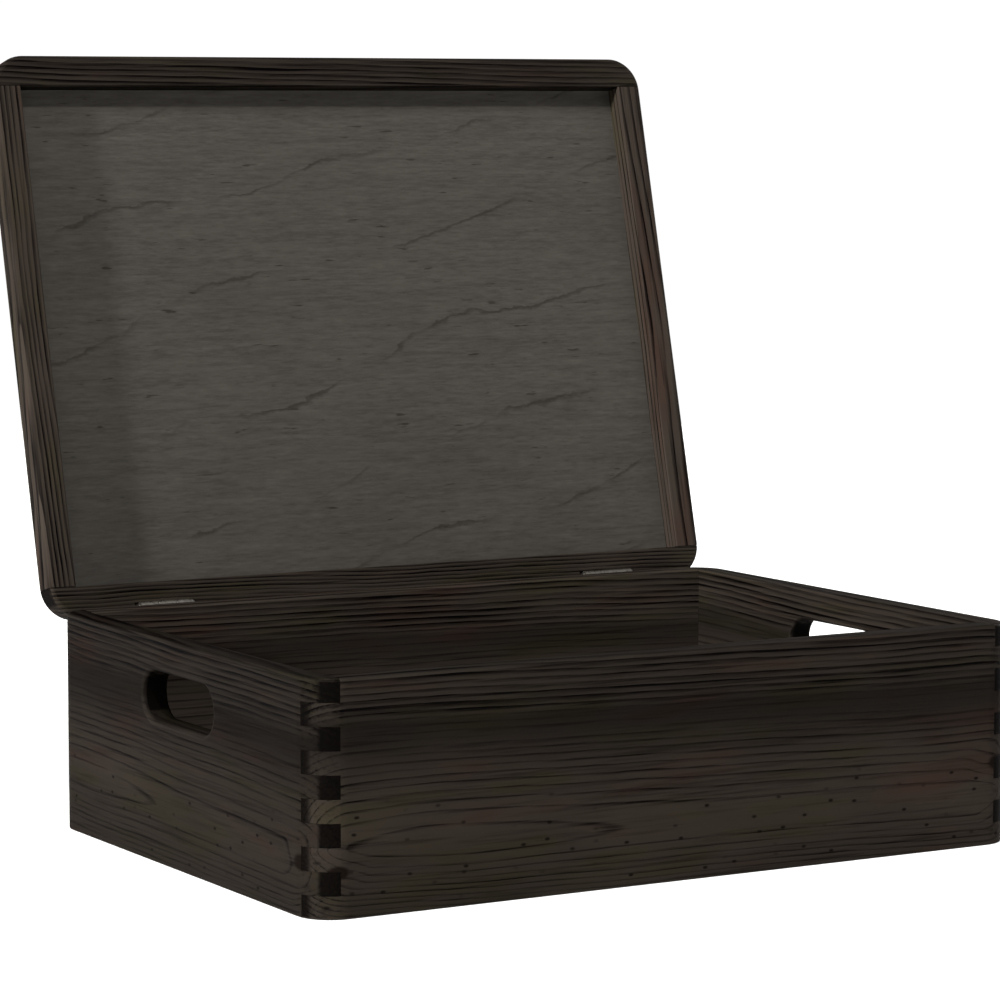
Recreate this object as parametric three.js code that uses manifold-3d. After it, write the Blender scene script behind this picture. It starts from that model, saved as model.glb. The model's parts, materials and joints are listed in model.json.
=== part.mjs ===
// Wooden toy box with finger-jointed walls and a framed, hinged lid.
//
// Millimetres, +Z up. X runs along the front, +Y points to the back. The origin is the
// centre of the underside, on the surface that the box stands on. The lid stands open.

import * as THREE from "three";
import { mergeVertices } from "three/addons/utils/BufferGeometryUtils.js";
import Module from "manifold-3d";

const wasm = await Module();
wasm.setup();

// ---- Driving dimensions ----------------------------------------------------------

const BOX_LENGTH = 400;
const BOX_DEPTH = 288;
const BOX_HEIGHT = 112;
const BOARD = 14;
const CORNER_RADIUS = 18;
const FINGER_COUNT = 10;
const WOOD_GAP = 0.15;

const HANDLE = { length: 78, height: 24.5, middle: 83 };
const BOTTOM = { thickness: 4, rebate: 5 };

const LID_DEPTH = 300;
const LID_THICKNESS = 15;
const LID_GAP = 0.3;
const RAIL_WIDTH = 16.5;
const STILE_WIDTH = 15;
const PANEL = { thickness: 3.7, rebate: 6 };
const OPEN_ANGLE = THREE.MathUtils.degToRad(104);

// A hinge's pin lies behind the rear wall and a little below its top edge.
const HINGE = {
  middles: { left: -136, right: 136 },
  width: 30,
  leaf: 1.1,
  knuckle: 2.4,
  bore: 1.2,
  pin: 1.0,
  pinHead: 1.7,
  pinTuck: 0.5,
  behind: 2.6,
  below: 1.3,
  boxLeafDrop: 15.5,
  lidLeafRise: 13.5,
  boxScrewDrop: 9.3,
  lidScrewRise: 7.8,
  stopRise: 0.1,
};
const KNUCKLE_SHARE = 1 / 3;
const SCREW = {
  spacing: 18,
  head: 2.2,
  dome: 1.0,
  shank: 1.1,
  length: 8,
  point: 2.4,
  slot: 0.5,
  slotArm: 1.3,
  slotFloor: 0.35,
  seatGap: 0.1,
};
const FIT = 0.3;
const PAST = 1;
const ROUND_STEPS = 24;
const CORNER_STEPS = 10;
const DOME_STEPS = 4;

// ---- Derived places --------------------------------------------------------------

const HALF_LENGTH = BOX_LENGTH / 2;
const HALF_DEPTH = BOX_DEPTH / 2;
const FINGER_HEIGHT = BOX_HEIGHT / FINGER_COUNT;
const PIN_Y = HALF_DEPTH + HINGE.behind;
const PIN_Z = BOX_HEIGHT - HINGE.below;
const LID_UNDERSIDE = BOX_HEIGHT + LID_GAP;
const LID_TOP = LID_UNDERSIDE + LID_THICKNESS;
const LID_BACK = LID_DEPTH / 2;
const SCREW_SIDES = { left: -SCREW.spacing / 2, right: SCREW.spacing / 2 };

// ---- Materials -------------------------------------------------------------------

const stainedPine = new THREE.MeshStandardMaterial({ color: 0x2a241f, roughness: 0.62 });
const stainedPly = new THREE.MeshStandardMaterial({ color: 0x49463f, roughness: 0.7 });
const nickel = { color: 0xb9b7b2, roughness: 0.32, metalness: 1 };
const hingeSteel = new THREE.MeshStandardMaterial(nickel);
const screwSteel = new THREE.MeshStandardMaterial({ ...nickel, roughness: 0.26 });

// ---- Solids ----------------------------------------------------------------------

function solidFrom(geometry) {
  const bare = geometry.index ? geometry.toNonIndexed() : geometry.clone();
  bare.deleteAttribute("normal");
  bare.deleteAttribute("uv");
  const merged = mergeVertices(bare);
  return new wasm.Manifold(new wasm.Mesh({
    numProp: 3,
    vertProperties: Float32Array.from(merged.attributes.position.array),
    triVerts: Uint32Array.from(merged.index.array),
  }));
}

function geometryFrom(solid) {
  const { vertProperties, triVerts } = solid.getMesh();
  const geometry = new THREE.BufferGeometry();
  geometry.setAttribute("position", new THREE.BufferAttribute(vertProperties, 3));
  geometry.setIndex(new THREE.BufferAttribute(triVerts, 1));
  geometry.computeVertexNormals();
  return geometry;
}

function block([x0, x1], [y0, y1], [z0, z1]) {
  const geometry = new THREE.BoxGeometry(x1 - x0, y1 - y0, z1 - z0);
  geometry.translate((x0 + x1) / 2, (y0 + y1) / 2, (z0 + z1) / 2);
  return solidFrom(geometry);
}

function centredBlock(length, depth, zRange) {
  return block([-length / 2, length / 2], [-depth / 2, depth / 2], zRange);
}

function roundedSlab(length, depth, radius, [z0, z1]) {
  const x = length / 2 - radius;
  const y = depth / 2 - radius;
  const quarter = Math.PI / 2;
  const outline = new THREE.Shape();
  outline.absarc(x, y, radius, 0, quarter);
  outline.absarc(-x, y, radius, quarter, 2 * quarter);
  outline.absarc(-x, -y, radius, 2 * quarter, 3 * quarter);
  outline.absarc(x, -y, radius, 3 * quarter, 4 * quarter);
  const options = { depth: z1 - z0, bevelEnabled: false, curveSegments: CORNER_STEPS };
  return solidFrom(new THREE.ExtrudeGeometry(outline, options).translate(0, 0, z0));
}

function rod(radius, [x0, x1], y, z) {
  const geometry = new THREE.CylinderGeometry(radius, radius, x1 - x0, ROUND_STEPS);
  geometry.rotateZ(Math.PI / 2);
  geometry.translate((x0 + x1) / 2, y, z);
  return solidFrom(geometry);
}

// A round bar along Y, from y0 to y1.
function peg(radius, x, [y0, y1], z) {
  const geometry = new THREE.CylinderGeometry(radius, radius, y1 - y0, ROUND_STEPS);
  geometry.translate(x, (y0 + y1) / 2, z);
  return solidFrom(geometry);
}

function joined(solids) {
  return solids.reduce((whole, solid) => whole.add(solid));
}

function piece(name, solid, material) {
  const mesh = new THREE.Mesh(geometryFrom(solid), material);
  mesh.name = name;
  return mesh;
}

// ---- Walls and bottom ------------------------------------------------------------

function wallRing() {
  const inside = centredBlock(
    BOX_LENGTH - 2 * BOARD, BOX_DEPTH - 2 * BOARD, [-PAST, BOX_HEIGHT + PAST]);
  return roundedSlab(BOX_LENGTH, BOX_DEPTH, CORNER_RADIUS, [0, BOX_HEIGHT]).subtract(inside);
}

function rebateForBottom() {
  const reach = 2 * (BOARD - BOTTOM.rebate);
  return centredBlock(
    BOX_LENGTH - reach, BOX_DEPTH - reach, [-PAST, BOTTOM.thickness + WOOD_GAP]);
}

// The heights that the fingers numbered first, first + 2, ... take up.
function fingerHeights(first) {
  const heights = [];
  for (let finger = first; finger < FINGER_COUNT; finger += 2) {
    const low = finger === 0 ? 0 : finger * FINGER_HEIGHT + WOOD_GAP / 2;
    const isTop = finger === FINGER_COUNT - 1;
    const high = isTop ? BOX_HEIGHT : (finger + 1) * FINGER_HEIGHT - WOOD_GAP / 2;
    heights.push([low, high]);
  }
  return heights;
}

// A front or rear wall: its fingers run out to the ends of the box. side is -1 or 1.
function longWall(side) {
  const across = side < 0 ? [-HALF_DEPTH, BOARD - HALF_DEPTH] : [HALF_DEPTH - BOARD, HALF_DEPTH];
  const shoulder = HALF_LENGTH - BOARD - WOOD_GAP;
  const board = block([-shoulder, shoulder], across, [0, BOX_HEIGHT]);
  const fingers = fingerHeights(0).map((height) =>
    block([-HALF_LENGTH, HALF_LENGTH], across, height));
  return wallRing().intersect(joined([board, ...fingers])).subtract(rebateForBottom());
}

function handleSlot() {
  const radius = HANDLE.height / 2;
  const reach = HANDLE.length / 2 - radius;
  const outline = new THREE.Shape();
  outline.absarc(reach, 0, radius, -Math.PI / 2, Math.PI / 2);
  outline.absarc(-reach, 0, radius, Math.PI / 2, 1.5 * Math.PI);
  const length = BOX_LENGTH + 2 * PAST;
  const options = { depth: length, bevelEnabled: false, curveSegments: ROUND_STEPS / 2 };
  const geometry = new THREE.ExtrudeGeometry(outline, options);
  geometry.rotateX(Math.PI / 2);
  geometry.rotateZ(Math.PI / 2);
  geometry.translate(-length / 2, 0, HANDLE.middle);
  return solidFrom(geometry);
}

// A left or right wall: its fingers run out to the front and back. side is -1 or 1.
function shortWall(side) {
  const along = side < 0 ? [-HALF_LENGTH, BOARD - HALF_LENGTH] : [HALF_LENGTH - BOARD, HALF_LENGTH];
  const shoulder = HALF_DEPTH - BOARD - WOOD_GAP;
  const board = block(along, [-shoulder, shoulder], [0, BOX_HEIGHT]);
  const fingers = fingerHeights(1).map((height) =>
    block(along, [-HALF_DEPTH, HALF_DEPTH], height));
  const whole = wallRing().intersect(joined([board, ...fingers]));
  return whole.subtract(rebateForBottom()).subtract(handleSlot());
}

function bottomPanel() {
  const shrink = 2 * (BOARD - BOTTOM.rebate + FIT);
  return centredBlock(BOX_LENGTH - shrink, BOX_DEPTH - shrink, [0, BOTTOM.thickness]);
}

// ---- Lid, drawn closed -----------------------------------------------------------

function lidRing() {
  const opening = centredBlock(
    BOX_LENGTH - 2 * STILE_WIDTH, LID_DEPTH - 2 * RAIL_WIDTH,
    [LID_UNDERSIDE - PAST, LID_TOP + PAST]);
  const slab = roundedSlab(BOX_LENGTH, LID_DEPTH, CORNER_RADIUS, [LID_UNDERSIDE, LID_TOP]);
  return slab.subtract(opening).subtract(rebateForPanel());
}

function rebateForPanel() {
  const length = BOX_LENGTH - 2 * (STILE_WIDTH - PANEL.rebate);
  const depth = LID_DEPTH - 2 * (RAIL_WIDTH - PANEL.rebate);
  return centredBlock(length, depth, [LID_TOP - PANEL.thickness - FIT, LID_TOP + PAST]);
}

function lidPanel() {
  const length = BOX_LENGTH - 2 * (STILE_WIDTH - PANEL.rebate + FIT);
  const depth = LID_DEPTH - 2 * (RAIL_WIDTH - PANEL.rebate + FIT);
  return centredBlock(length, depth, [LID_TOP - PANEL.thickness, LID_TOP]);
}

function lidRail(side) {
  const edge = side * LID_BACK;
  const inner = side * (LID_BACK - RAIL_WIDTH);
  const across = [Math.min(edge, inner), Math.max(edge, inner)];
  return lidRing().intersect(
    block([-HALF_LENGTH, HALF_LENGTH], across, [LID_UNDERSIDE, LID_TOP]));
}

function lidStile(side) {
  const along = side < 0
    ? [-HALF_LENGTH, STILE_WIDTH - HALF_LENGTH] : [HALF_LENGTH - STILE_WIDTH, HALF_LENGTH];
  const reach = LID_BACK - RAIL_WIDTH - FIT;
  return lidRing().intersect(block(along, [-reach, reach], [LID_UNDERSIDE, LID_TOP]));
}

// A shallow notch in the rear rail that lets a hinge's knuckles and web in.
function hingeNotch(middle) {
  const reach = HINGE.width / 2 + FIT + HINGE.pinHead;
  return block(
    [middle - reach, middle + reach],
    [PIN_Y - HINGE.knuckle - FIT, LID_BACK + PAST],
    [LID_UNDERSIDE - PAST, PIN_Z + HINGE.knuckle + FIT]);
}

// ---- Hinges, drawn closed --------------------------------------------------------

function knuckleReach() {
  return (HINGE.width * KNUCKLE_SHARE) / 2;
}

function pinBore(middle) {
  const reach = HINGE.width / 2 + PAST;
  return rod(HINGE.bore, [middle - reach, middle + reach], PIN_Y, PIN_Z);
}

function screwPegs(middle, radius, yRange, z) {
  return joined(Object.values(SCREW_SIDES).map((side) => peg(radius, middle + side, yRange, z)));
}

const BOX_SCREW_Z = PIN_Z - HINGE.boxScrewDrop;
const LID_SCREW_Z = LID_UNDERSIDE + HINGE.lidScrewRise;
const BOX_LEAF_Y = [HALF_DEPTH + WOOD_GAP, HALF_DEPTH + WOOD_GAP + HINGE.leaf];
const LID_LEAF_Y = [LID_BACK + FIT, LID_BACK + FIT + HINGE.leaf];

function boxLeaf(middle) {
  const half = HINGE.width / 2;
  const centre = knuckleReach() + FIT;
  const plate = block(
    [middle - half, middle + half], BOX_LEAF_Y, [PIN_Z - HINGE.boxLeafDrop, PIN_Z]);
  const knuckles = rod(HINGE.knuckle, [middle - half, middle + half], PIN_Y, PIN_Z);
  const gap = block(
    [middle - centre, middle + centre],
    [HALF_DEPTH - PAST, PIN_Y + HINGE.knuckle + PAST],
    [PIN_Z - HINGE.knuckle - FIT, PIN_Z + HINGE.knuckle + PAST]);
  const holes = screwPegs(
    middle, SCREW.shank + FIT, [HALF_DEPTH - PAST, PIN_Y + PAST], BOX_SCREW_Z);
  return plate.add(knuckles).subtract(gap).subtract(pinBore(middle)).subtract(holes);
}

// The lid's leaf is cranked: a web under the rail's overhang joins its knuckle to the plate.
// The plate's lower edge swings round onto the box leaf, which stops the open lid.
function lidLeaf(middle) {
  const half = HINGE.width / 2;
  const centre = knuckleReach();
  const top = PIN_Z + HINGE.knuckle;
  const knuckle = rod(HINGE.knuckle, [middle - centre, middle + centre], PIN_Y, PIN_Z);
  const web = block([middle - centre, middle + centre], [PIN_Y, LID_LEAF_Y[1]],
    [top - HINGE.leaf, top]);
  const plate = block([middle - half, middle + half], LID_LEAF_Y,
    [PIN_Z + HINGE.stopRise, LID_UNDERSIDE + HINGE.lidLeafRise]);
  const holes = screwPegs(
    middle, SCREW.shank + FIT, [LID_BACK - PAST, LID_LEAF_Y[1] + PAST], LID_SCREW_Z);
  return joined([knuckle, web, plate]).subtract(pinBore(middle)).subtract(holes);
}

function hingePin(middle) {
  const reach = HINGE.width / 2 + FIT;
  const end = reach + HINGE.pinTuck;
  const shaft = rod(HINGE.pin, [middle - end, middle + end], PIN_Y, PIN_Z);
  const heads = [-1, 1].map((side) => {
    const near = middle + side * reach;
    const far = near + side * (HINGE.pinHead / 2);
    return rod(HINGE.pinHead, [Math.min(near, far), Math.max(near, far)], PIN_Y, PIN_Z);
  });
  return joined([shaft, ...heads]);
}

// A domed wood screw that points along -Y, with its head's seat at the origin.
function screwSolid() {
  const { head, dome, shank, length, point, slot, slotArm, slotFloor } = SCREW;
  const profile = [
    new THREE.Vector2(0, -length),
    new THREE.Vector2(shank, point - length),
    new THREE.Vector2(shank, 0),
  ];
  for (let step = 0; step < DOME_STEPS; step += 1) {
    const angle = (step / DOME_STEPS) * (Math.PI / 2);
    profile.push(new THREE.Vector2(head * Math.cos(angle), dome * Math.sin(angle)));
  }
  profile.push(new THREE.Vector2(0, dome));
  const body = solidFrom(new THREE.LatheGeometry(profile, ROUND_STEPS / 2));
  const depth = [slotFloor, dome + PAST];
  const cross = block([-slotArm, slotArm], depth, [-slot / 2, slot / 2])
    .add(block([-slot / 2, slot / 2], depth, [-slotArm, slotArm]));
  return body.subtract(cross);
}

function screwsFor(prefix, middle, seatY, z) {
  return Object.entries(SCREW_SIDES).map(([side, offset]) => {
    const screw = piece(`${prefix}_screw_${side}`, screwSolid(), screwSteel);
    screw.position.set(middle + offset, seatY, z);
    return screw;
  });
}

// ---- Assembly --------------------------------------------------------------------

function cutForHinges(solid, cutter) {
  return Object.values(HINGE.middles).reduce((left, middle) => left.subtract(cutter(middle)), solid);
}

function pilotHoles(faceY, z) {
  const deep = faceY - SCREW.length - FIT;
  return (middle) => screwPegs(middle, SCREW.shank + FIT, [deep, faceY + PAST], z);
}

function boxGroup() {
  const rearWall = cutForHinges(longWall(1), pilotHoles(HALF_DEPTH, BOX_SCREW_Z));
  const group = new THREE.Group();
  group.add(
    piece("front_wall", longWall(-1), stainedPine),
    piece("rear_wall", rearWall, stainedPine),
    piece("left_wall", shortWall(-1), stainedPine),
    piece("right_wall", shortWall(1), stainedPine),
    piece("bottom_panel", bottomPanel(), stainedPly));
  for (const [side, middle] of Object.entries(HINGE.middles)) {
    group.add(
      piece(`${side}_hinge_box_leaf`, boxLeaf(middle), hingeSteel),
      piece(`${side}_hinge_pin`, hingePin(middle), screwSteel),
      ...screwsFor(`${side}_hinge_box`, middle, BOX_LEAF_Y[1] + SCREW.seatGap, BOX_SCREW_Z));
  }
  return group;
}

function closedLid() {
  const notched = cutForHinges(lidRail(1), hingeNotch);
  const rearRail = cutForHinges(notched, pilotHoles(LID_BACK, LID_SCREW_Z));
  const group = new THREE.Group();
  group.add(
    piece("lid_front_rail", lidRail(-1), stainedPine),
    piece("lid_rear_rail", rearRail, stainedPine),
    piece("lid_left_stile", lidStile(-1), stainedPine),
    piece("lid_right_stile", lidStile(1), stainedPine),
    piece("lid_panel", lidPanel(), stainedPly));
  for (const [side, middle] of Object.entries(HINGE.middles)) {
    group.add(
      piece(`${side}_hinge_lid_leaf`, lidLeaf(middle), hingeSteel),
      ...screwsFor(`${side}_hinge_lid`, middle, LID_LEAF_Y[1] + SCREW.seatGap, LID_SCREW_Z));
  }
  return group;
}

// The closed lid turned back about the hinge pins.
function openLid() {
  const lid = closedLid();
  lid.position.set(0, -PIN_Y, -PIN_Z);
  const turned = new THREE.Group();
  turned.position.set(0, PIN_Y, PIN_Z);
  turned.rotation.x = -OPEN_ANGLE;
  turned.add(lid);
  return turned;
}

const toyBox = new THREE.Group();
toyBox.add(boxGroup(), openLid());

export default toyBox;
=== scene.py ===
"""Looks of the wooden toy box: stained, finger-jointed pine walls under an open framed lid."""

import json
import math
from dataclasses import dataclass

import bmesh
import bpy
from mathutils import Matrix, Vector


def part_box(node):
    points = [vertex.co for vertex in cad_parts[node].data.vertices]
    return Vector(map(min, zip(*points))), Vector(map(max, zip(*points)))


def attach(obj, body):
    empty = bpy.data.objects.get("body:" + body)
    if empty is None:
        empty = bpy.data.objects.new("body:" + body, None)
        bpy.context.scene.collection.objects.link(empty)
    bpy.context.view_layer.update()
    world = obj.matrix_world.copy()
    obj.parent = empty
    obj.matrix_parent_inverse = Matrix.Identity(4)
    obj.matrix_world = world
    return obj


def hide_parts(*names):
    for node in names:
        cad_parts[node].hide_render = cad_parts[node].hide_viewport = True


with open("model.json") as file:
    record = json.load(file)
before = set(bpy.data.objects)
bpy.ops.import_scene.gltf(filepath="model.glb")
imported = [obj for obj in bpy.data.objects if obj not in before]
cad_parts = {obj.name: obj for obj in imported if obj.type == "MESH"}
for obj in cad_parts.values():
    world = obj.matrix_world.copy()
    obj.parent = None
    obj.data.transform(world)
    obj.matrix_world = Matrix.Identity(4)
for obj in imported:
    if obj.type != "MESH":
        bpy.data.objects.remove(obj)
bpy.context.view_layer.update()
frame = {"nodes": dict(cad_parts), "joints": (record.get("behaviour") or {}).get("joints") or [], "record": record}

# ---- Driving sizes, in metres ------------------------------------------------------

MM = 0.001
SKIN = 0.03 * MM            # how far the eased skins sit inside the CAD faces
BOARD = 14 * MM
CORNER_RADIUS = 18 * MM
STILE_WIDTH = 15 * MM
RAIL_WIDTH = 16.5 * MM
RIM_EASE = 1.6 * MM         # rounding of the box's top edges
FOOT_EASE = 1.0 * MM
LID_EASE = 2.4 * MM
LID_INNER_EASE = 0.9 * MM
SLOT_EASE = 2.2 * MM
SLOT_MARGIN = 0.5 * MM      # the stated opening is this much inside the slot
SLOT_LENGTH = 78 * MM
SLOT_CLEAR = 0.12 * MM      # the eased slot lies this much outside the CAD slot
PANEL_EASE = 0.5 * MM
METAL_EASE = 0.18 * MM
PAST = 1 * MM
OUTWARD = 1.001             # CAD copies grow by this so that the skin sets their faces
EASE_STEPS = 5
CORNER_STEPS = 14
SHARP_CORNER = 0.1 * MM
BEVEL_STEPS = 3
SEAM_GAP = 0.004 * MM       # points nearer than this are one point
SLIVER = 0.003 * MM         # edges shorter than this are dropped after a cut

# ---- Creases, in degrees -----------------------------------------------------------

FLAT = 0.5                  # faces that turn less than this are one face
SOFTENED_FROM = 28          # edges sharper than this are rounded
WOOD_CREASE = 24            # edges sharper than this are shaded sharp
SOFTENED_CREASE = 40        # the same, on pieces whose edges are rounded by a bevel

# ---- Camera and light --------------------------------------------------------------

CAMERA_AZIMUTH = math.radians(30.15)
CAMERA_ELEVATION = math.radians(5.74)
CAMERA_DISTANCE = 2.0374
CAMERA_RIGHT = -0.01596
CAMERA_UP = 0.1710
SENSOR = 36.0
LENS = 142.96

KEY_FROM = Vector((-0.30, -0.57, 0.79))
SIDE_FROM = Vector((-1.0, -0.16, 0.30))
BACK_FROM = Vector((0.90, 0.40, 0.20))
KEY_STRENGTH = 2.5
SIDE_STRENGTH = 5.2
BACK_STRENGTH = 2.4
KEY_SPREAD = math.radians(5)
SIDE_SPREAD = math.radians(4)
BACK_SPREAD = math.radians(8)
SKY_STRENGTH = 0.12
FLOOR_RADIUS = 2.6
FLOOR_DROP = 0.05 * MM      # keeps the floor just clear of the box's underside
FLOOR_GREY = 0.92
FLOOR_GLOW = 0.36
BACKDROP_RADIUS = 8.0
BACKDROP_LOW = -3.0
BACKDROP_HIGH = 1.2
BACKDROP_GLOW = 1.03

HINGE_JOINT = next(j for j in frame["joints"] if j["name"] == "lid_hinge")
PIN = Vector(HINGE_JOINT["pos_m"])
OPEN_ANGLE = math.radians(HINGE_JOINT["range_deg"][1])
LID_OPENED = (Matrix.Translation(PIN) @ Matrix.Rotation(-OPEN_ANGLE, 4, "X")
              @ Matrix.Translation(-PIN))
LID_CLOSED = LID_OPENED.inverted()
GROW = Matrix.Diagonal((OUTWARD, OUTWARD, 1.0, 1.0))


# ---- Mesh helpers ------------------------------------------------------------------

def rounded_outline(half_x, half_y, radius):
    """Corner-rounded rectangle about the origin, counter-clockwise, as (x, y) pairs."""
    points = []
    for quarter, (sx, sy) in enumerate(((1, 1), (-1, 1), (-1, -1), (1, -1))):
        for step in range(CORNER_STEPS + 1):
            angle = math.pi / 2 * (quarter + step / CORNER_STEPS)
            points.append((sx * (half_x - radius) + radius * math.cos(angle),
                           sy * (half_y - radius) + radius * math.sin(angle)))
    return points


def quarter_turn(end, ease, way):
    """(level, inset) pairs of a rounded edge that starts at end and goes way."""
    turn = []
    for step in range(EASE_STEPS + 1):
        angle = math.pi / 2 * step / EASE_STEPS
        turn.append((end + way * ease * (1 - math.cos(angle)), ease * (1 - math.sin(angle))))
    return turn


def eased_levels(low, high, ease_low, ease_high):
    """(level, inset) pairs from low to high whose two ends turn in over a quarter round."""
    return quarter_turn(low, ease_low, 1) + quarter_turn(high, ease_high, -1)[::-1]


BOTH_ENDS = [gap for gap in range(2 * EASE_STEPS + 1) if gap != EASE_STEPS]


def link(name, mesh):
    made = bpy.data.objects.new(name, mesh)
    bpy.context.scene.collection.objects.link(made)
    return made


def loft(name, rings, eased):
    """Closed mesh through rings of equally many points, capped at both ends.

    eased lists the gaps between rings that belong to a rounded edge.
    """
    shape = bmesh.new()
    # marks the rounded edges, which the pine shader lightens with wear and a painted highlight
    eased_faces = shape.faces.layers.float.new("eased")
    rows = [[shape.verts.new(point) for point in ring] for ring in rings]
    count = len(rows[0])
    for gap, (near, far) in enumerate(zip(rows, rows[1:])):
        for i in range(count):
            j = (i + 1) % count
            face = shape.faces.new((near[i], near[j], far[j], far[i]))
            face[eased_faces] = 1.0 if gap in eased else 0.0
    shape.faces.new(rows[0][::-1])
    shape.faces.new(rows[-1])
    bmesh.ops.recalc_face_normals(shape, faces=shape.faces)
    mesh = bpy.data.meshes.new(name)
    shape.to_mesh(mesh)
    shape.free()
    return link(name, mesh)


def apply_modifiers(piece):
    """Leaves the piece with the mesh that its modifiers make."""
    graph = bpy.context.evaluated_depsgraph_get()
    result = bpy.data.meshes.new_from_object(piece.evaluated_get(graph))
    piece.modifiers.clear()
    old = piece.data
    piece.data = result
    bpy.data.meshes.remove(old)


def carve(piece, tool, operation):
    """Applies one exact boolean to piece."""
    modifier = piece.modifiers.new("carve", "BOOLEAN")
    modifier.object = tool
    modifier.operation = operation
    modifier.solver = "EXACT"
    apply_modifiers(piece)


def discard(*pieces):
    for piece in pieces:
        bpy.data.objects.remove(piece)


def merged_copy(node, name, change=Matrix.Identity(4)):
    """A copy of a CAD node with its seams closed and its flat faces whole."""
    shape = bmesh.new()
    shape.from_mesh(frame["nodes"][node].data)
    shape.faces.layers.float.new("eased")
    bmesh.ops.transform(shape, matrix=change, verts=shape.verts)
    bmesh.ops.remove_doubles(shape, verts=shape.verts, dist=SEAM_GAP)
    bmesh.ops.dissolve_limit(
        shape, angle_limit=math.radians(FLAT), verts=shape.verts, edges=shape.edges)
    mesh = bpy.data.meshes.new(name)
    shape.to_mesh(mesh)
    shape.free()
    return link(name, mesh)


def shade(piece, sharp_degrees):
    """Smooth rounds, crisp corners, and flat faces that stay flat."""
    piece.data.shade_smooth()
    piece.data.set_sharp_from_angle(angle=math.radians(sharp_degrees))
    even = piece.modifiers.new("even_shading", "WEIGHTED_NORMAL")
    even.keep_sharp = True
    even.weight = 100


def clean(piece):
    """Drops doubled points and slivers left by the cuts."""
    shape = bmesh.new()
    shape.from_mesh(piece.data)
    bmesh.ops.remove_doubles(shape, verts=shape.verts, dist=SLIVER)
    bmesh.ops.dissolve_degenerate(shape, dist=SLIVER, edges=shape.edges)
    bmesh.ops.triangulate(shape, faces=[f for f in shape.faces if len(f.verts) > 4])
    shape.to_mesh(piece.data)
    shape.free()


# ---- Eased skins that the CAD pieces are cut to ------------------------------------

def rect_rings(half_x, half_y, radius, centre, levels):
    """Rings of a rounded rectangle at each (z, inset) level."""
    return [[(centre.x + x, centre.y + y, z)
             for x, y in rounded_outline(half_x - inset, half_y - inset, radius - inset)]
            for z, inset in levels]


def flared(levels):
    """The same levels with the insets turned into outsets, for a cutter."""
    return [(level, -inset) for level, inset in levels]


def wall_box():
    names = ("front_wall", "rear_wall", "left_wall", "right_wall")
    corners = [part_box(name) for name in names]
    low = Vector([min(c[0][i] for c in corners) for i in range(3)])
    high = Vector([max(c[1][i] for c in corners) for i in range(3)])
    return low, high


def slot_ring(x, outset, middle, length, height):
    """One round-ended outline across X, outset from the slot's own."""
    radius = height / 2
    reach = length / 2 - radius
    ring = []
    for side, start in ((1, -math.pi / 2), (-1, math.pi / 2)):
        for step in range(CORNER_STEPS + 1):
            angle = start + math.pi * step / CORNER_STEPS
            ring.append((x, middle.y + side * reach + (radius + outset) * math.cos(angle),
                         middle.z + (radius + outset) * math.sin(angle)))
    return ring


def slot_cutter(side):
    opening = next(o for o in frame["record"]["physics"]["openings"]
                   if o["name"] == f"{side}_handle_slot")
    low, high = (Vector(corner) for corner in opening["box_m"])
    wall_low, wall_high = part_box(f"{side}_wall")
    size = (SLOT_LENGTH, high.z - low.z + 2 * SLOT_MARGIN)
    levels = eased_levels(wall_low.x + SKIN, wall_high.x - SKIN, SLOT_EASE, SLOT_EASE)
    rings = [slot_ring(x, outset + SLOT_CLEAR, (low + high) / 2, *size) for x, outset in levels]
    first = [(wall_low.x - PAST, y, z) for _, y, z in rings[0]]
    last = [(wall_high.x + PAST, y, z) for _, y, z in rings[-1]]
    return loft(f"{side}_slot_cutter", [first, *rings, last], [gap + 1 for gap in BOTH_ENDS])


def cavity_cutter(low, high, centre):
    half = (high - low) / 2
    inner_x, inner_y = half.x - BOARD + SKIN, half.y - BOARD + SKIN
    rim = quarter_turn(high.z - SKIN, RIM_EASE, -1)[::-1]
    rings = rect_rings(inner_x, inner_y, SHARP_CORNER, centre,
                       [(low.z - PAST, 0.0), *flared(rim)])
    rings.append([(x, y, high.z + PAST) for x, y, _ in rings[-1]])
    return loft("cavity_cutter", rings, range(1, EASE_STEPS + 1))


def eased_walls():
    """The whole ring of walls with rounded rims, foot edges and slot mouths."""
    low, high = wall_box()
    centre = (low + high) / 2
    half = (high - low) / 2
    levels = eased_levels(low.z + SKIN, high.z - SKIN, FOOT_EASE, RIM_EASE)
    rings = rect_rings(half.x - SKIN, half.y - SKIN, CORNER_RADIUS, centre, levels)
    skin = loft("wall_skin", rings, BOTH_ENDS)
    tools = [cavity_cutter(low, high, centre), slot_cutter("left"), slot_cutter("right")]
    for tool in tools:
        carve(skin, tool, "DIFFERENCE")
    discard(*tools)
    return skin


def closed_lid_box():
    """The box round the lid's frame with the lid shut."""
    names = ("lid_front_rail", "lid_rear_rail", "lid_left_stile", "lid_right_stile")
    points = [LID_CLOSED @ v.co for name in names for v in frame["nodes"][name].data.vertices]
    low = Vector([min(p[i] for p in points) for i in range(3)])
    high = Vector([max(p[i] for p in points) for i in range(3)])
    return low, high


def lid_hole(low, high, centre, half):
    """Cutter for the space inside the lid's frame, eased on the underside."""
    levels = flared(quarter_turn(low.z + SKIN, LID_INNER_EASE, 1))
    inner = rect_rings(half.x - STILE_WIDTH + SKIN, half.y - RAIL_WIDTH + SKIN, SHARP_CORNER,
                       centre, levels)
    below = [(x, y, low.z - PAST) for x, y, _ in inner[0]]
    above = [(x, y, high.z + PAST) for x, y, _ in inner[-1]]
    return loft("lid_hole", [below, *inner, above], range(1, EASE_STEPS + 1))


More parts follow.
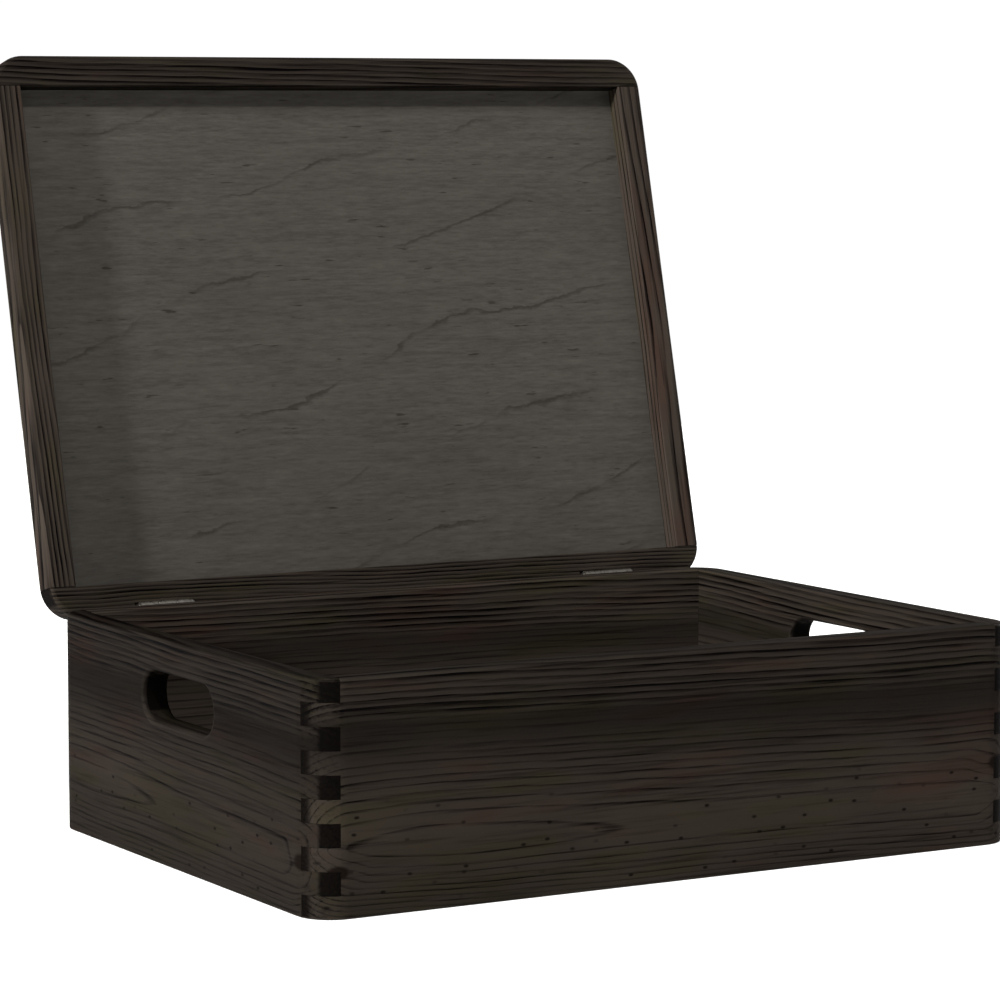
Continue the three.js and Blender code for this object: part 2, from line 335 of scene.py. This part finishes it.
def eased_lid():
    """The lid's whole frame with rounded outer and inner edges, turned open."""
    low, high = closed_lid_box()
    centre = (low + high) / 2
    half = (high - low) / 2
    levels = eased_levels(low.z + SKIN, high.z - SKIN, LID_EASE, LID_EASE)
    rings = rect_rings(half.x - SKIN, half.y - SKIN, CORNER_RADIUS, centre, levels)
    skin = loft("lid_skin", rings, BOTH_ENDS)
    hole = lid_hole(low, high, centre, half)
    carve(skin, hole, "DIFFERENCE")
    discard(hole)
    skin.data.transform(LID_OPENED)
    return skin


def stand_in(piece, node, body, material):
    """Puts the finished piece in the CAD node's place."""
    piece.data.materials.clear()
    piece.data.materials.append(material)
    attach(piece, body)
    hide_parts(node)


def cut_to_skin(node, skin, grow):
    """The part of the eased skin that the CAD node takes up."""
    piece = merged_copy(node, f"{node}_wood", grow)
    carve(piece, skin, "INTERSECT")
    clean(piece)
    shade(piece, WOOD_CREASE)
    return piece


def softened(node, ease, name):
    """A copy of a CAD node with all its sharp edges rounded a little."""
    piece = merged_copy(node, name)
    modifier = piece.modifiers.new("ease", "BEVEL")
    modifier.width = ease
    modifier.segments = BEVEL_STEPS
    modifier.limit_method = "ANGLE"
    modifier.angle_limit = math.radians(SOFTENED_FROM)
    apply_modifiers(piece)
    shade(piece, SOFTENED_CREASE)
    return piece


# ---- Node helpers ------------------------------------------------------------------

class Shader:
    """One material's node tree, with short calls that add and wire nodes."""

    def __init__(self, name):
        self.material = bpy.data.materials.new(name)
        self.material.use_nodes = True
        self.tree = self.material.node_tree
        self.tree.nodes.clear()
        self.surface = self.add("ShaderNodeBsdfPrincipled")
        output = self.add("ShaderNodeOutputMaterial")
        self.tree.links.new(self.surface.outputs[0], output.inputs["Surface"])

    def add(self, kind, inputs=None, **settings):
        node = self.tree.nodes.new(kind)
        for key, value in settings.items():
            setattr(node, key, value)
        for key, value in (inputs or {}).items():
            self.feed(node.inputs[key], value)
        return node

    def feed(self, socket, value):
        if isinstance(value, bpy.types.NodeSocket):
            self.tree.links.new(value, socket)
        else:
            socket.default_value = value

    def math(self, operation, first, second=0.0, third=0.0, clamp=False):
        node = self.add("ShaderNodeMath", {0: first, 1: second, 2: third},
                        operation=operation, use_clamp=clamp)
        return node.outputs[0]

    def times(self, *values):
        product = values[0]
        for value in values[1:]:
            product = self.math("MULTIPLY", product, value)
        return product

    def plus(self, value, change, amount=1.0):
        """value plus amount times change."""
        return self.math("MULTIPLY_ADD", change, amount, value)

    def hypotenuse(self, first, second):
        return self.math("SQRT", self.math("ADD", self.times(first, first),
                                           self.times(second, second)))

    def scaled(self, vector, scale):
        node = self.add("ShaderNodeVectorMath", {0: vector, 1: scale}, operation="MULTIPLY")
        return node.outputs[0]

    def turned(self, vector, turn):
        node = self.add("ShaderNodeVectorRotate", {"Vector": vector, "Rotation": turn},
                        rotation_type="EULER_XYZ", invert=True)
        return node.outputs[0]

    def split(self, vector):
        return self.add("ShaderNodeSeparateXYZ", {0: vector}).outputs

    def noise(self, vector, scale, detail=2.0, roughness=0.55):
        """Noise about zero, from roughly -0.5 to 0.5. scale is cycles per metre each way."""
        node = self.add("ShaderNodeTexNoise", {
            "Vector": self.scaled(vector, scale), "Scale": 1.0, "Detail": detail,
            "Roughness": roughness})
        return self.math("SUBTRACT", node.outputs["Fac"], 0.5)

    def span(self, value, low, high, out_low=0.0, out_high=1.0):
        node = self.add("ShaderNodeMapRange", {
            "Value": value, "From Min": low, "From Max": high,
            "To Min": out_low, "To Max": out_high}, interpolation_type="SMOOTHSTEP")
        return node.outputs["Result"]

    def mix(self, share, first, second, blend="MIX"):
        node = self.add("ShaderNodeMix", {0: share, 6: first, 7: second},
                        data_type="RGBA", blend_type=blend)
        return node.outputs[2]

    def tinted(self, colour, tint, share=1.0):
        return self.mix(share, colour, tint, "MULTIPLY")

    def dimmed(self, colour, level):
        grey = self.add("ShaderNodeCombineColor", {"Red": level, "Green": level, "Blue": level})
        return self.tinted(colour, grey.outputs[0])

    def ramp(self, value, stops):
        """Three numbers that follow value through stops of (place, (a, b, c))."""
        node = self.add("ShaderNodeValToRGB", {"Fac": value})
        elements = node.color_ramp.elements
        while len(elements) < len(stops):
            elements.new(0.5)
        for element, (place, levels) in zip(elements, stops):
            element.position = place
            element.color = (*levels, 1.0)
        return self.add("ShaderNodeSeparateColor", {0: node.outputs["Color"]}).outputs

    def relief(self, height, strength, distance):
        bump = self.add("ShaderNodeBump", {
            "Height": height, "Strength": strength, "Distance": distance})
        self.feed(self.surface.inputs["Normal"], bump.outputs[0])


def linear(red, green, blue):
    """A display colour from 0 to 255 as linear RGBA."""
    channels = [c / 255 for c in (red, green, blue)]
    return tuple(((c + 0.055) / 1.055) ** 2.4 if c > 0.04045 else c / 12.92
                 for c in channels) + (1.0,)


def grain_turn(along, across):
    """Rotation that takes x to along, the grain, and z to across, the board's width."""
    return Matrix((along, across.cross(along), across)).transposed().to_euler()


def board_place(sh, turn, origin):
    """Each point's place in the board: x along the grain, y into it, z across it."""
    place = sh.add("ShaderNodeTexCoord").outputs["Object"]
    moved = sh.add("ShaderNodeVectorMath", {0: place, 1: origin}, operation="SUBTRACT")
    return sh.turned(moved.outputs[0], turn)


# ---- Pine --------------------------------------------------------------------------

EARLYWOOD = linear(39.5, 34.5, 30)
LATEWOOD = linear(3, 2, 2)
RESIN = linear(8, 6, 5)
KNOT = linear(12, 7, 5)
END_GRAIN = linear(3.5, 2.5, 2)
# colour of the rounded edges: partly rubbed wear, partly a painted highlight along the rims
WORN_AND_HIGHLIGHT = linear(62, 56, 50)
RED_STAIN = (1.10, 0.88, 0.84, 1.0)
OLIVE_STAIN = (0.96, 1.0, 0.82, 1.0)
RING_SPACING = 3.1 * MM
LINE_UNIT = 4.0 * MM        # ring line widths in the zones are in this unit
THINNEST_LINE = 0.09        # as a share of the ring
LINE_FULL = 0.93            # where in its ring a dark line is darkest
LINE_END = 0.94             # where it starts to fade
FIRST_RING = 40.66          # keeps the ring count above zero and sets where lines fall
HEART_HEIGHT = 28 * MM
BELOW_HEART = 1.45          # rings below the heart line lie this much closer
ARCH_AHEAD = 150 * MM       # how far the closed arch of grain reaches each way
ARCH_BEHIND = 84 * MM
ARCH_DIP = 2.4 * MM
KNOT_SWIRL = 2.4 * MM       # how far a knot pushes the rings aside
KNOT_STRETCH = 0.6          # knots are drawn out along the grain by the inverse
GRAIN_SLOPE = 0.022
SLOW_WANDER = 5.0 * MM
QUICK_WANDER = 0.9 * MM
SPECK_CELLS = (68.0, 118.0, 1.0)    # cells per metre, some with a resin fleck
SPECK_TOP = 52 * MM         # no flecks above this height
SPECK_FADE = 42 * MM
FIBRE_DARKENS = 1.5
STREAK_DARKENS = 1.45
MATT = 0.012                # specular level of stained wood


@dataclass
class Board:
    """How one board was sawn and stained. Lengths are in its own x, y and z."""
    along: Vector
    across: Vector
    origin: Vector
    heart: float            # height of the line nearest the tree's heart
    depth: float            # how deep the heart lies below the middle of the board
    arch: float             # place along the board of the closed arch of grain
    seed: float
    zones: tuple            # (height, (brightness, line strength, line width))
    knots: tuple = ()       # (place along, height, radius)
    end_shows: float = 0.8  # how squarely a face must cut the grain to look dark
    specks: float = 0.0     # how strongly the resin flecks show
    tone: float = 1.0       # brightness of the whole board


def grain_height(sh, place, parts, board):
    """Height across the board with the grain's slow wander in it."""
    shift = sh.add("ShaderNodeVectorMath", {0: place, 1: (board.seed,) * 3}, operation="ADD")
    shifted = shift.outputs[0]
    slow = sh.noise(shifted, (9.0, 14.0, 14.0), 1.0)
    quick = sh.noise(shifted, (45.0, 90.0, 90.0), 2.0)
    height = sh.plus(parts["Z"], parts["X"], GRAIN_SLOPE)
    height = sh.plus(height, slow, SLOW_WANDER)
    return sh.plus(height, quick, QUICK_WANDER), shifted


def heart_distance(sh, height, parts, board):
    """Distance from the tree's heart, and how square the rings cross the face."""
    rise = sh.math("SUBTRACT", height, board.heart)
    rise = sh.math("MAXIMUM", rise, sh.times(rise, -BELOW_HEART))
    away = sh.math("SUBTRACT", parts["X"], board.arch)
    away = sh.math("MAXIMUM", sh.math("DIVIDE", away, ARCH_AHEAD),
                   sh.math("DIVIDE", away, -ARCH_BEHIND))
    deep = sh.plus(board.depth, sh.span(away, 0.0, 1.0), ARCH_DIP)
    deep = sh.math("ADD", deep, parts["Y"])
    radius = sh.hypotenuse(rise, deep)
    return radius, sh.math("DIVIDE", rise, radius)


def ring_lines(sh, radius, square, zone, start):
    """Dark autumn wood, from 0 to 1: thin lines with one soft side and one sharp."""
    turns = sh.math("DIVIDE", sh.math("SUBTRACT", radius, start), RING_SPACING)
    turns = sh.math("ADD", turns, FIRST_RING)
    ring = sh.math("FRACT", turns)
    width = sh.times(zone["Blue"], LINE_UNIT / RING_SPACING, square)
    width = sh.math("ADD", width, THINNEST_LINE)
    soft = sh.span(ring, sh.math("SUBTRACT", LINE_END, width), LINE_FULL)
    line = sh.times(soft, sh.span(ring, LINE_END, 1.0, 1.0, 0.0))
    number = sh.add("ShaderNodeTexWhiteNoise", {"W": sh.math("FLOOR", turns)},
                    noise_dimensions="1D")
    return sh.times(line, sh.math("MULTIPLY_ADD", number.outputs["Value"], 0.4, 0.72))


def resin_specks(sh, parts, height):
    """Short dark flecks scattered over the wide-grained part of the face."""
    flat = sh.add("ShaderNodeCombineXYZ", {"X": parts["X"], "Y": parts["Z"]})
    cells = sh.add("ShaderNodeTexVoronoi", {
        "Vector": sh.scaled(flat.outputs[0], SPECK_CELLS), "Scale": 1.0},
        voronoi_dimensions="2D")
    near = sh.span(cells.outputs["Distance"], 0.05, 0.13, 1.0, 0.0)
    pick = sh.add("ShaderNodeSeparateColor", {0: cells.outputs["Color"]}).outputs[0]
    kept = sh.span(pick, 0.50, 0.85)
    return sh.times(near, kept, sh.span(height, SPECK_FADE, SPECK_TOP, 1.0, 0.0))


def knot_marks(sh, parts, knots):
    """1 inside the knots, and a wider swirl round them."""
    core, swirl = 0.0, 0.0
    for x, z, radius in knots:
        dx = sh.times(sh.math("SUBTRACT", parts["X"], x), KNOT_STRETCH)
        far = sh.hypotenuse(dx, sh.math("SUBTRACT", parts["Z"], z))
        core = sh.math("MAXIMUM", core, sh.span(far, 0.6 * radius, 1.1 * radius, 1.0, 0.0))
        swirl = sh.math("MAXIMUM", swirl, sh.span(far, radius, 3.2 * radius, 1.0, 0.0))
    return core, swirl


def end_grain(sh, turn, shows):
    """1 where the face cuts across the grain."""
    facing = sh.turned(sh.add("ShaderNodeTexCoord").outputs["Normal"], turn)
    return sh.span(sh.math("ABSOLUTE", sh.split(facing)["X"]), shows - 0.06, shows + 0.05)


def darkness(sh, line, strength, shifted, fibre, streak):
    """Share of dark wood in the colour, from 0 to 1."""
    patchy = sh.math("MULTIPLY_ADD", sh.noise(shifted, (20.0, 200.0, 200.0)), 1.1, 0.92)
    share = sh.times(line, patchy, strength)
    share = sh.plus(share, fibre, FIBRE_DARKENS)
    return sh.math("MULTIPLY_ADD", streak, STREAK_DARKENS, share, clamp=True)


def stained(sh, colour, shifted, cloud, brightness):
    """The colour with the stain's reddish and olive patches and its uneven depth."""
    hue = sh.noise(shifted, (13.0, 70.0, 70.0), 2.0)
    colour = sh.tinted(colour, RED_STAIN, sh.span(hue, 0.02, 0.26))
    colour = sh.tinted(colour, OLIVE_STAIN, sh.span(hue, -0.02, -0.2))
    return sh.dimmed(colour, sh.times(*brightness, sh.math("MULTIPLY_ADD", cloud, 0.5, 1.0)))


def pine(name, board):
    sh = Shader(name)
    turn = grain_turn(board.along, board.across)
    place = board_place(sh, turn, board.origin)
    parts = sh.split(place)
    height, shifted = grain_height(sh, place, parts, board)
    core, swirl = knot_marks(sh, parts, board.knots)

    top = board.zones[-1][0]
    stops = [(z / top, levels) for z, levels in board.zones]
    zone = sh.ramp(sh.math("DIVIDE", height, top), stops)
    radius, square = heart_distance(sh, height, parts, board)
    radius = sh.plus(radius, swirl, KNOT_SWIRL)
    line = ring_lines(sh, radius, square, zone, board.depth)
    fibre = sh.noise(shifted, (28.0, 1100.0, 1100.0), 3.0, 0.6)
    streak = sh.noise(shifted, (6.0, 260.0, 260.0), 3.0, 0.6)
    cloud = sh.noise(shifted, (11.0, 26.0, 26.0), 3.0)
    specks = sh.times(resin_specks(sh, parts, height), board.specks)
    end = sh.times(end_grain(sh, turn, board.end_shows), sh.plus(0.93, fibre, 0.3))
    eased = sh.add("ShaderNodeAttribute", attribute_name="eased").outputs["Fac"]
    # rounded edges lightened: partly rubbed wear, partly a painted highlight in place of the rims' glint
    rubbed_and_highlit = sh.times(eased, sh.span(sh.math("ADD", streak, cloud), -0.25, 0.35, 0.02, 0.22))

    share = darkness(sh, line, zone["Green"], shifted, fibre, streak)
    colour = sh.mix(share, EARLYWOOD, LATEWOOD)
    colour = stained(sh, colour, shifted, cloud, (zone["Red"], board.tone))
    colour = sh.mix(sh.times(specks, 0.9), colour, RESIN)
    colour = sh.mix(sh.times(core, 0.92), colour, KNOT)
    colour = sh.mix(end, colour, END_GRAIN)
    sh.feed(sh.surface.inputs["Base Color"], sh.mix(rubbed_and_highlit, colour, WORN_AND_HIGHLIGHT))
    rough = sh.plus(0.68, line, -0.10)
    sh.feed(sh.surface.inputs["Roughness"], sh.plus(rough, fibre, 0.2))
    sh.surface.inputs["Specular IOR Level"].default_value = MATT
    relief = sh.plus(sh.times(line, 0.6), fibre, 0.5)
    sh.relief(sh.plus(relief, specks, -0.9), 0.45, 0.14 * MM)
    return sh.material


# ---- Plywood -----------------------------------------------------------------------

PLY_FACE = linear(72, 69, 64)
PLY_FLECK = linear(38, 35, 32)
PLY_LINE = linear(28, 25, 22)
PLY_LINE_SPACING = 56 * MM
PLY_LINE_SLOPE = -0.27
PLY_SLOW_WANDER = 64 * MM
PLY_JAGGED_WANDER = 9 * MM


def plywood(name, turn, origin, tone):
    """Stained plywood: fine short flecks and a few long wandering growth lines."""
    sh = Shader(name)
    place = board_place(sh, turn, origin)
    parts = sh.split(place)
    fleck = sh.noise(place, (120.0, 800.0, 800.0), 3.0, 0.65)
    fibre = sh.noise(place, (24.0, 300.0, 300.0), 2.0)
    cloud = sh.noise(place, (7.0, 12.0, 12.0), 3.0)
    slow = sh.noise(place, (7.0, 9.0, 9.0), 1.0)
    jagged = sh.noise(place, (70.0, 130.0, 130.0), 3.0, 0.6)
    climb = sh.plus(parts["Z"], parts["X"], PLY_LINE_SLOPE)
    climb = sh.plus(climb, slow, PLY_SLOW_WANDER)
    climb = sh.plus(climb, jagged, PLY_JAGGED_WANDER)
    wave = sh.math("FRACT", sh.math("MULTIPLY_ADD", climb, 1 / PLY_LINE_SPACING, 20.3))
    thread = sh.times(sh.span(wave, 0.93, 0.975), sh.span(wave, 0.975, 0.995, 1.0, 0.0))
    patchy = sh.span(sh.noise(place, (14.0, 40.0, 40.0), 2.0), -0.12, 0.14)
    pores = sh.span(sh.noise(place, (60.0, 420.0, 420.0), 2.0), 0.17, 0.26)
    share = sh.plus(sh.plus(0.32, fleck, 0.9), fibre, 0.5)
    colour = sh.mix(sh.math("ADD", share, 0.0, clamp=True), PLY_FACE, PLY_FLECK)
    colour = sh.mix(sh.times(thread, patchy, 0.5), colour, PLY_LINE)
    colour = sh.mix(sh.times(pores, 0.6), colour, PLY_LINE)
    colour = sh.dimmed(colour, sh.times(sh.math("MULTIPLY_ADD", cloud, 0.22, 1.0), tone))
    sh.feed(sh.surface.inputs["Base Color"], colour)
    sh.feed(sh.surface.inputs["Roughness"], sh.plus(0.7, fleck, 0.25))
    sh.surface.inputs["Specular IOR Level"].default_value = MATT
    sh.relief(sh.plus(fleck, pores, -0.5), 0.4, 0.09 * MM)
    return sh.material


# ---- Metal -------------------------------------------------------------------------

def metal(name, dark, light, roughness):
    """Plated steel with fine draw marks along X and a little tarnish."""
    sh = Shader(name)
    place = sh.add("ShaderNodeTexCoord").outputs["Object"]
    drawn = sh.noise(place, (150.0, 4000.0, 4000.0))
    tarnish = sh.noise(place, (420.0, 420.0, 420.0), 3.0)
    share = sh.plus(sh.plus(0.5, drawn, 0.5), tarnish, 0.9)
    colour = sh.mix(sh.math("ADD", share, 0.0, clamp=True), dark, light)
    sh.feed(sh.surface.inputs["Base Color"], colour)
    sh.surface.inputs["Metallic"].default_value = 1.0
    sh.feed(sh.surface.inputs["Roughness"], sh.plus(roughness, tarnish, 0.25))
    sh.relief(drawn, 0.3, 0.02 * MM)
    return sh.material


# ---- Boards ------------------------------------------------------------------------

RIGHTWARD = Vector((1, 0, 0))
FORWARD = Vector((0, -1, 0))
UPWARD = Vector((0, 0, 1))
WALL_ZONES = (
    (0, (0.74, 0.74, 0.42)),
    (16 * MM, (0.86, 0.70, 0.36)),
    (34 * MM, (1.0, 0.80, 0.30)),
    (56 * MM, (0.88, 0.72, 0.30)),
    (70 * MM, (0.62, 0.66, 0.32)),
    (78 * MM, (0.42, 0.42, 0.25)),
    (86 * MM, (0.36, 0.36, 0.25)),
    (90 * MM, (0.66, 0.98, 0.68)),
    (102 * MM, (0.84, 1.0, 0.64)),
    (112 * MM, (0.76, 0.98, 0.62)),
)
STRIP_ZONES = ((0, (0.95, 0.98, 0.62)), (100 * MM, (0.95, 0.98, 0.62)))


def wall_board(node, along, **sawn):
    low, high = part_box(node)
    middle = (low + high) / 2
    return Board(along, UPWARD, Vector((middle.x, middle.y, low.z)), heart=HEART_HEIGHT,
                 zones=WALL_ZONES, specks=1.0, **sawn)


def build_walls():
    corner_knots = ((130 * MM, 26 * MM, 4.5 * MM), (136 * MM, 7 * MM, 3 * MM))
    end_knots = ((-187 * MM, 22 * MM, 3.5 * MM), (189 * MM, 42 * MM, 4.5 * MM),
                 (192 * MM, 17 * MM, 3.5 * MM))
    boards = {
        "front_wall": wall_board("front_wall", RIGHTWARD, depth=29 * MM, arch=-132 * MM,
                                 seed=3.1, end_shows=0.88, knots=end_knots),
        # the rear wall's raised tone is painted light: it brightens the inside face, which the other walls shade
        "rear_wall": wall_board("rear_wall", RIGHTWARD, depth=32 * MM, arch=60 * MM,
                                seed=8.6, end_shows=0.88, tone=2.05),
        "left_wall": wall_board("left_wall", FORWARD, depth=29 * MM, arch=-122 * MM,
                                seed=5.2, end_shows=0.70, knots=corner_knots, tone=0.74),
        "right_wall": wall_board("right_wall", FORWARD, depth=34 * MM, arch=40 * MM,
                                 seed=12.9, end_shows=0.70, tone=1.35),
    }
    skin = eased_walls()
    for node, board in boards.items():
        piece = cut_to_skin(node, skin, GROW)
        stand_in(piece, node, "box", pine(f"pine_{node}", board))
    discard(skin)


def lid_board(node, along, across, **sawn):
    low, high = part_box(node)
    lid = LID_OPENED.to_3x3()
    return Board(lid @ along, lid @ across, (low + high) / 2, arch=0.0, zones=STRIP_ZONES,
                 **sawn)


def build_lid():
    boards = {
        "lid_front_rail": lid_board("lid_front_rail", RIGHTWARD, FORWARD, heart=-24 * MM,
                                    depth=9 * MM, seed=2.2, tone=1.05),
        "lid_rear_rail": lid_board("lid_rear_rail", RIGHTWARD, FORWARD, heart=30 * MM,
                                   depth=12 * MM, seed=6.1, tone=1.3),
        "lid_left_stile": lid_board("lid_left_stile", FORWARD, RIGHTWARD, heart=20 * MM,
                                    depth=16 * MM, seed=9.4, tone=1.7),
        "lid_right_stile": lid_board("lid_right_stile", FORWARD, RIGHTWARD, heart=-18 * MM,
                                     depth=20 * MM, seed=15.8, tone=1.8),
    }
    grow = LID_OPENED @ GROW @ LID_CLOSED
    skin = eased_lid()
    for node, board in boards.items():
        piece = cut_to_skin(node, skin, grow)
        stand_in(piece, node, "lid", pine(f"pine_{node}", board))
    discard(skin)


def build_panels():
    lid = LID_OPENED.to_3x3()
    lid_turn = grain_turn(lid @ RIGHTWARD, lid @ FORWARD)
    bottom_turn = grain_turn(RIGHTWARD, FORWARD)
    for node, body, turn, tone in (("lid_panel", "lid", lid_turn, 1.0),
                                   ("bottom_panel", "box", bottom_turn, 0.8)):
        low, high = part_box(node)
        piece = softened(node, PANEL_EASE, f"{node}_ply")
        face = plywood(f"ply_{node}", turn, (low + high) / 2, tone)
        stand_in(piece, node, body, face)


def build_hinges():
    finishes = {
        "leaf": ("hinge_nickel", metal("nickel_plate", linear(176, 168, 158),
                                       linear(232, 226, 216), 0.30)),
        "pin": ("pin_steel", metal("bright_steel", linear(110, 107, 103),
                                   linear(170, 167, 162), 0.3)),
        "screw": ("screw_nickel", metal("nickel_screw", linear(130, 127, 121),
                                        linear(196, 192, 186), 0.26)),
    }
    for body, nodes in frame["record"]["behaviour"]["bodies"].items():
        for node in nodes:
            if "hinge" not in node:
                continue
            kind = next(word for word in ("screw", "pin", "leaf") if word in node.split("_"))
            slot, material = finishes[kind]
            piece = softened(node, METAL_EASE, f"{node}_metal")
            stand_in(piece, node, body, material)


# ---- Stage -------------------------------------------------------------------------

def plain_surface(name, level, glow):
    sh = Shader(name)
    sh.surface.inputs["Base Color"].default_value = (level, level, level, 1.0)
    sh.surface.inputs["Roughness"].default_value = 0.9
    sh.surface.inputs["Specular IOR Level"].default_value = 0.0
    sh.surface.inputs["Emission Color"].default_value = (1.0, 1.0, 1.0, 1.0)
    sh.surface.inputs["Emission Strength"].default_value = glow
    return sh.material


def circle(radius, z, sides=64):
    return [(radius * math.cos(math.tau * i / sides), radius * math.sin(math.tau * i / sides), z)
            for i in range(sides)]


def build_stage():
    """A round pale floor inside a white ring of backdrop."""
    disc = circle(FLOOR_RADIUS, -FLOOR_DROP)
    mesh = bpy.data.meshes.new("floor")
    mesh.from_pydata(disc, [], [range(len(disc))])
    mesh.materials.append(plain_surface("pale_floor", FLOOR_GREY, FLOOR_GLOW))
    link("floor", mesh)
    low, high = circle(BACKDROP_RADIUS, BACKDROP_LOW), circle(BACKDROP_RADIUS, BACKDROP_HIGH)
    count = len(low)
    band = [(i, (i + 1) % count, count + (i + 1) % count, count + i) for i in range(count)]
    mesh = bpy.data.meshes.new("backdrop")
    mesh.from_pydata(low + high, [], band)
    mesh.materials.append(plain_surface("white_backdrop", 0.0, BACKDROP_GLOW))
    link("backdrop", mesh)


def far_light(name, come_from, strength, spread):
    data = bpy.data.lights.new(name, "SUN")
    data.energy = strength
    data.angle = spread
    light = bpy.data.objects.new(name, data)
    bpy.context.scene.collection.objects.link(light)
    light.rotation_euler = (-come_from).to_track_quat("-Z", "Y").to_euler()


def build_lights():
    far_light("key", KEY_FROM, KEY_STRENGTH, KEY_SPREAD)
    far_light("side", SIDE_FROM, SIDE_STRENGTH, SIDE_SPREAD)
    far_light("back", BACK_FROM, BACK_STRENGTH, BACK_SPREAD)
    world = bpy.data.worlds.new("studio")
    world.use_nodes = True
    background = world.node_tree.nodes["Background"]
    background.inputs["Color"].default_value = (1.0, 1.0, 1.0, 1.0)
    background.inputs["Strength"].default_value = SKY_STRENGTH
    bpy.context.scene.world = world


def build_camera():
    azimuth, elevation = CAMERA_AZIMUTH, CAMERA_ELEVATION
    back = Vector((-math.sin(azimuth) * math.cos(elevation),
                   -math.cos(azimuth) * math.cos(elevation), math.sin(elevation)))
    right = UPWARD.cross(back).normalized()
    up = back.cross(right)
    data = bpy.data.cameras.new("camera")
    data.lens = LENS
    data.sensor_width = SENSOR
    camera = bpy.data.objects.new("camera", data)
    bpy.context.scene.collection.objects.link(camera)
    camera.location = right * CAMERA_RIGHT + up * CAMERA_UP + back * CAMERA_DISTANCE
    camera.rotation_euler = Matrix((right, up, back)).transposed().to_euler()
    bpy.context.scene.camera = camera
    bpy.context.scene.view_settings.view_transform = "Standard"


build_camera()
build_walls()
build_lid()
build_panels()
build_hinges()
build_stage()
build_lights()
